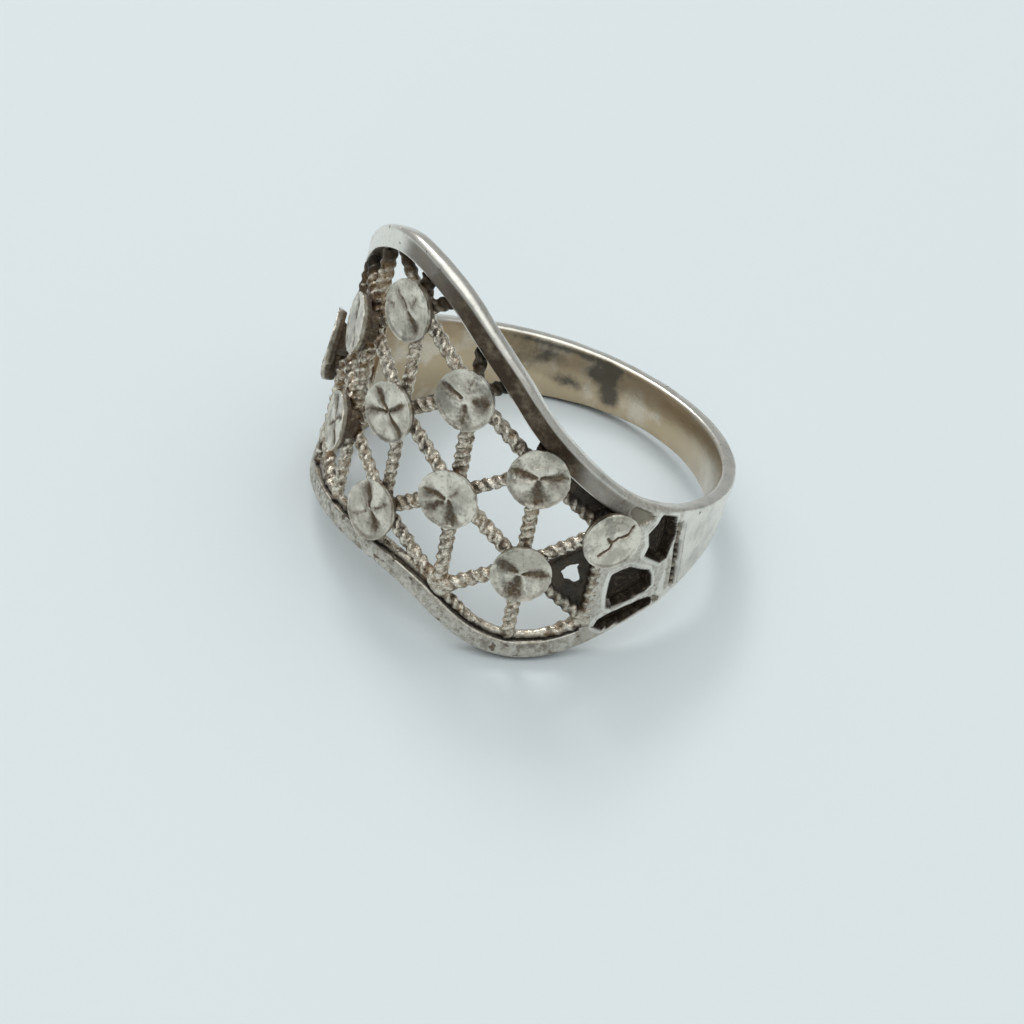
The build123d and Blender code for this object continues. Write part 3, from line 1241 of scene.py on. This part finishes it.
@on_shoulders
def wall_shallow(angle, height):
    """The two shallow places, the bead row with its painted shadow and, more lightly, the metal between
    cells.
    """
    groove, _, flank = bead_row(angle, height)
    shallow = rise(deepest(SHALLOWS, angle, height), -0.02, 0.05)
    between = fall(deepest(CELLS, angle, height), -0.26, -0.14) * fall(angle, 80.0, 82.5)
    shadow_strip = bead_row_shadow(angle, height)
    return max(shallow, 0.45 * flank, 0.6 * groove, 0.5 * shadow_strip, 0.42 * between)


@on_shoulders
def wall_contour(angle, height):
    """How far in from its cell's edge a point is, for the lines that follow the edge."""
    return max(0.0, deepest(CELLS, angle, height))


def wall_low(point):
    """The lower rim's outside, duller than the band."""
    angle = angle_of(point)
    above, _ = edge_distances(point)
    in_panel_part = rise(angle, -100, -80) * fall(angle, 52, 70)
    return in_panel_part * fall(above, lower_rim, lower_rim + 0.15)


def wall_smudge(point):
    """The dark cloud inside the back of the band."""
    if radius_of(point) > inside_until:
        return 0.0
    angle = angle_of(point) % 360
    total = 0.0
    for middle, height, wide, high, strength in SMUDGES:
        total += strength * math.exp(-((angle - middle) / wide) ** 2 - ((point.z - height) / high) ** 2)
    return min(1.0, total)


def wall_inside(point):
    """Tan inside, from below the rounded edge, and paler at the right end of the band."""
    angle = angle_of(point) % 360
    _, below = edge_distances(point)
    shape = panel_share(angle_of(point))
    inside = fall(radius_of(point), finger_radius + 0.3, outside_from)
    edge = rise(below, 0.05 + 0.1 * shape, 0.14 + 0.26 * shape)
    return inside * edge * (0.35 + 0.65 * rise(angle, 118, 165))


WALL_LAYERS = {
    "tarnish": wall_tarnish, "sunk": wall_sunk, "inside": wall_inside, "shallow": wall_shallow,
    "contour": wall_contour, "low": wall_low, "smudge": wall_smudge,
}
smooth_below = 40


def laid_down(piece, finish):
    """Lays a finished piece down as the ring rests and attaches it to the root body."""
    piece.data.transform(LAID_DOWN)
    piece.data.materials.clear()
    piece.data.materials.append(finish)
    only(piece)
    bpy.ops.object.shade_smooth_by_angle(angle=math.radians(smooth_below))
    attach(piece, "root")
    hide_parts("ring")


wall = make_wall()
break_edges(wall)
roughen(wall, broad_skin, wall_skin)
for layer_name, value_at in WALL_LAYERS.items():
    paint(wall, layer_name, value_at)
laid_down(wall, wall_finish())

net = make_net()
laid_down(net, wire_finish())

disc_silver = disc_finish()
for disc in make_discs():
    laid_down(disc, disc_silver)


# Floor, light and camera

floor_size = 1.6
# The room's strength near the ground and overhead, and the heights between which it changes
room_low = 0.36
room_high = 1.45
room_low_until = 0.5
room_high_from = 0.97
camera_place = Vector((0.042271, -0.061636, 0.064748))
camera_forward = Vector((-0.4253, 0.622, -0.6574))
camera_roll = 9.91
camera_lens = 70.3
camera_sensor = 36


def make_floor():
    bpy.ops.mesh.primitive_plane_add(size=floor_size)
    floor = bpy.context.object
    floor.name = "floor"
    floor.data.materials.append(floor_finish())


def soft_light(name, place, target, size, power, colour):
    light = bpy.data.lights.new(name, "AREA")
    light.shape = "RECTANGLE"
    light.size, light.size_y = size
    light.energy = power
    light.color = colour
    lamp = new_object(name, light)
    lamp.location = place
    lamp.rotation_euler = (Vector(target) - Vector(place)).to_track_quat("-Z", "Y").to_euler()


def room_light():
    """Soft light from all round, a little stronger from above."""
    world = bpy.data.worlds.new("room")
    world.use_nodes = True
    nodes, links = world.node_tree.nodes, world.node_tree.links
    background = nodes["Background"]
    background.inputs["Color"].default_value = (*SKY, 1)
    direction = nodes.new("ShaderNodeTexCoord")
    parts = nodes.new("ShaderNodeSeparateXYZ")
    level = nodes.new("ShaderNodeMapRange")
    level.interpolation_type = "SMOOTHSTEP"
    for name, value in (("From Min", room_low_until), ("From Max", room_high_from),
                        ("To Min", room_low), ("To Max", room_high)):
        level.inputs[name].default_value = value
    links.new(direction.outputs["Generated"], parts.inputs[0])
    links.new(parts.outputs["Z"], level.inputs["Value"])
    links.new(level.outputs[0], background.inputs["Strength"])
    bpy.context.scene.world = world


def make_camera():
    camera = bpy.data.cameras.new("camera")
    camera.lens = camera_lens
    camera.sensor_width = camera_sensor
    camera.clip_start = 0.001
    holder = new_object("camera", camera)
    forward = camera_forward.normalized()
    level = forward.cross(Vector((0, 0, 1))).normalized()
    above = level.cross(forward)
    roll = math.radians(camera_roll)
    right = level * math.cos(roll) + above * math.sin(roll)
    up = right.cross(forward)
    turn = Matrix((right, up, -forward)).transposed().to_4x4()
    holder.matrix_world = Matrix.Translation(camera_place) @ turn
    bpy.context.scene.camera = holder


make_floor()
soft_light("window_light", place=(-0.48, 0.28, 0.62), target=(0, 0, 0), size=(0.22, 0.22),
           power=1.35, colour=(1.0, 0.99, 0.97))
soft_light("front_fill", place=(0.2, -0.28, 0.16), target=(0, 0, 0.005), size=(0.1, 0.08),
           power=0.05, colour=(0.95, 0.98, 1.0))
room_light()
make_camera()
bpy.context.scene.view_settings.view_transform = "Standard"
